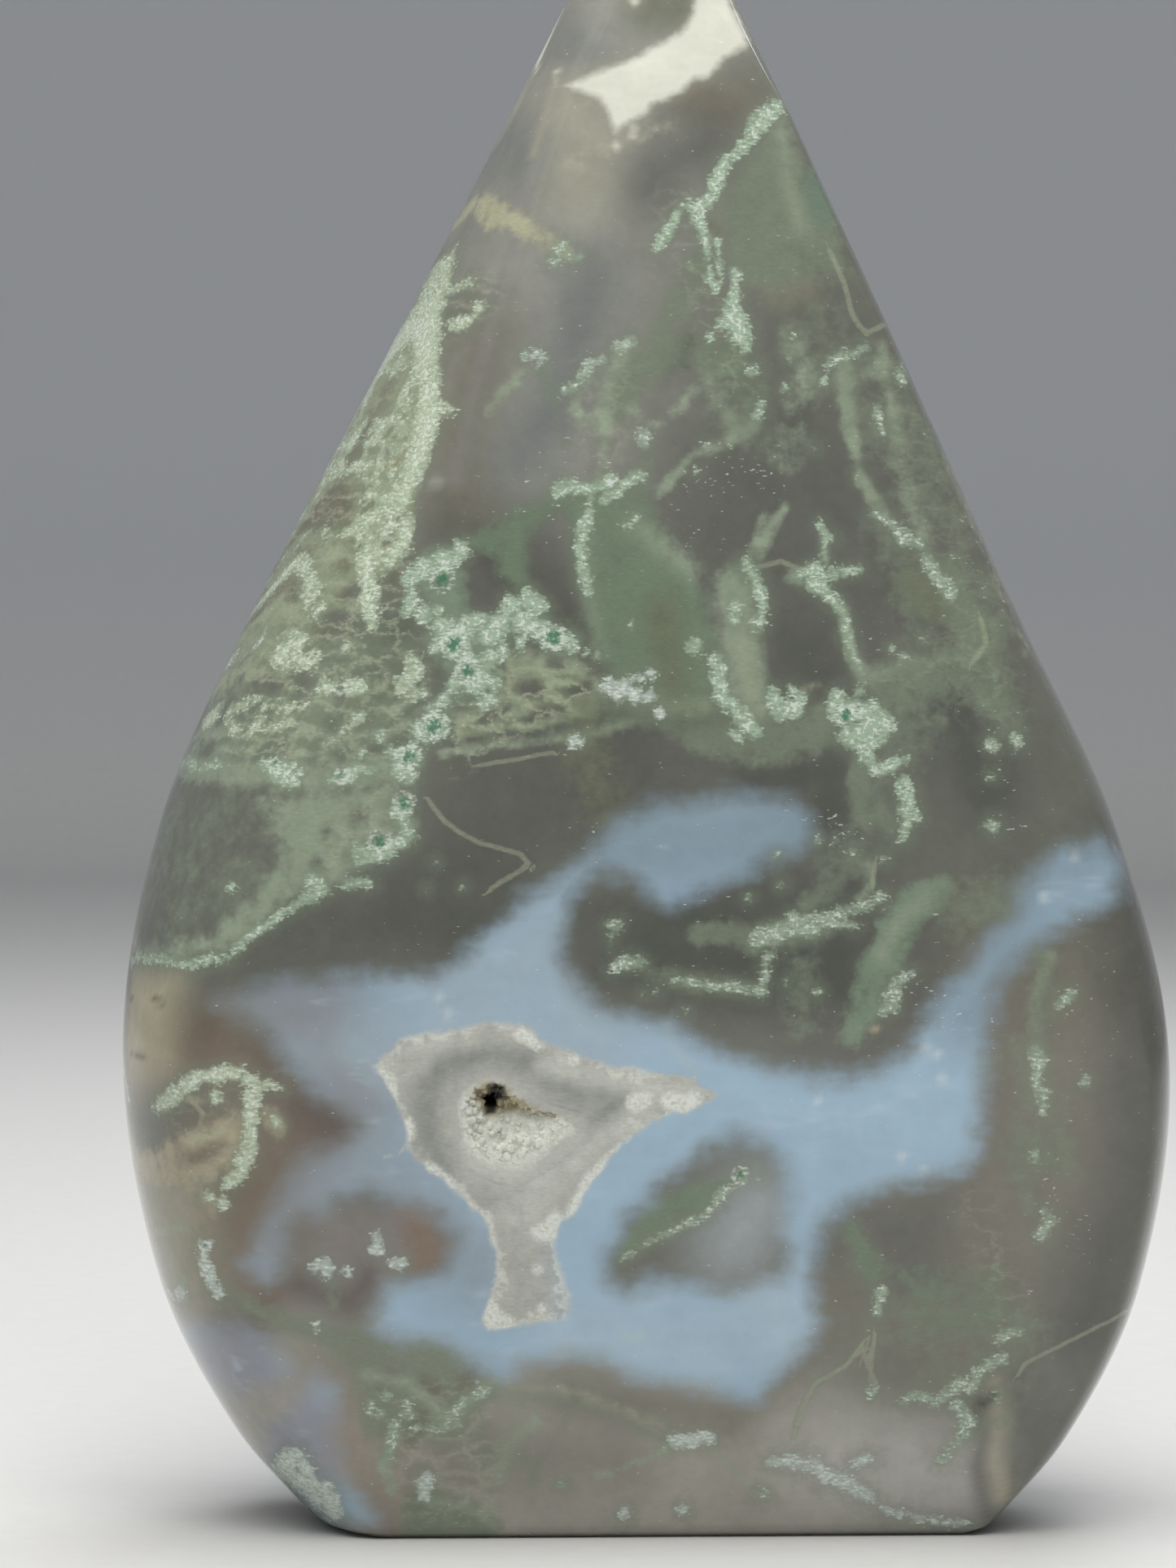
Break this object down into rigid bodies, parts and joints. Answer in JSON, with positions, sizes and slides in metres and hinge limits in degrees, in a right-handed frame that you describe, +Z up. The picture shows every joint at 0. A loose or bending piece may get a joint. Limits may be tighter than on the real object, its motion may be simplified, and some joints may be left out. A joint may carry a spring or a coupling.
{
  "type": "moss agate teardrop",
  "caption": "Free-standing polished moss agate stone in a pointed teardrop shape, with a flat base to stand on and a crystal-lined pit in its front face.",
  "frame": {"origin": "middle of the base, on the surface that the stone stands on", "axes": "+Z up towards the point, the broad front face with the pit looks along -Y, +X to the right of that face"},
  "size_m": [0.0548, 0.0232, 0.087],
  "materials": {
    "moss_agate": "high polish",
    "druzy_quartz": "sugary crystal"
  },
  "bodies": {
    "root": {"agate_teardrop": "moss_agate", "druzy_crust": "druzy_quartz"}
  },
  "joints": []
}
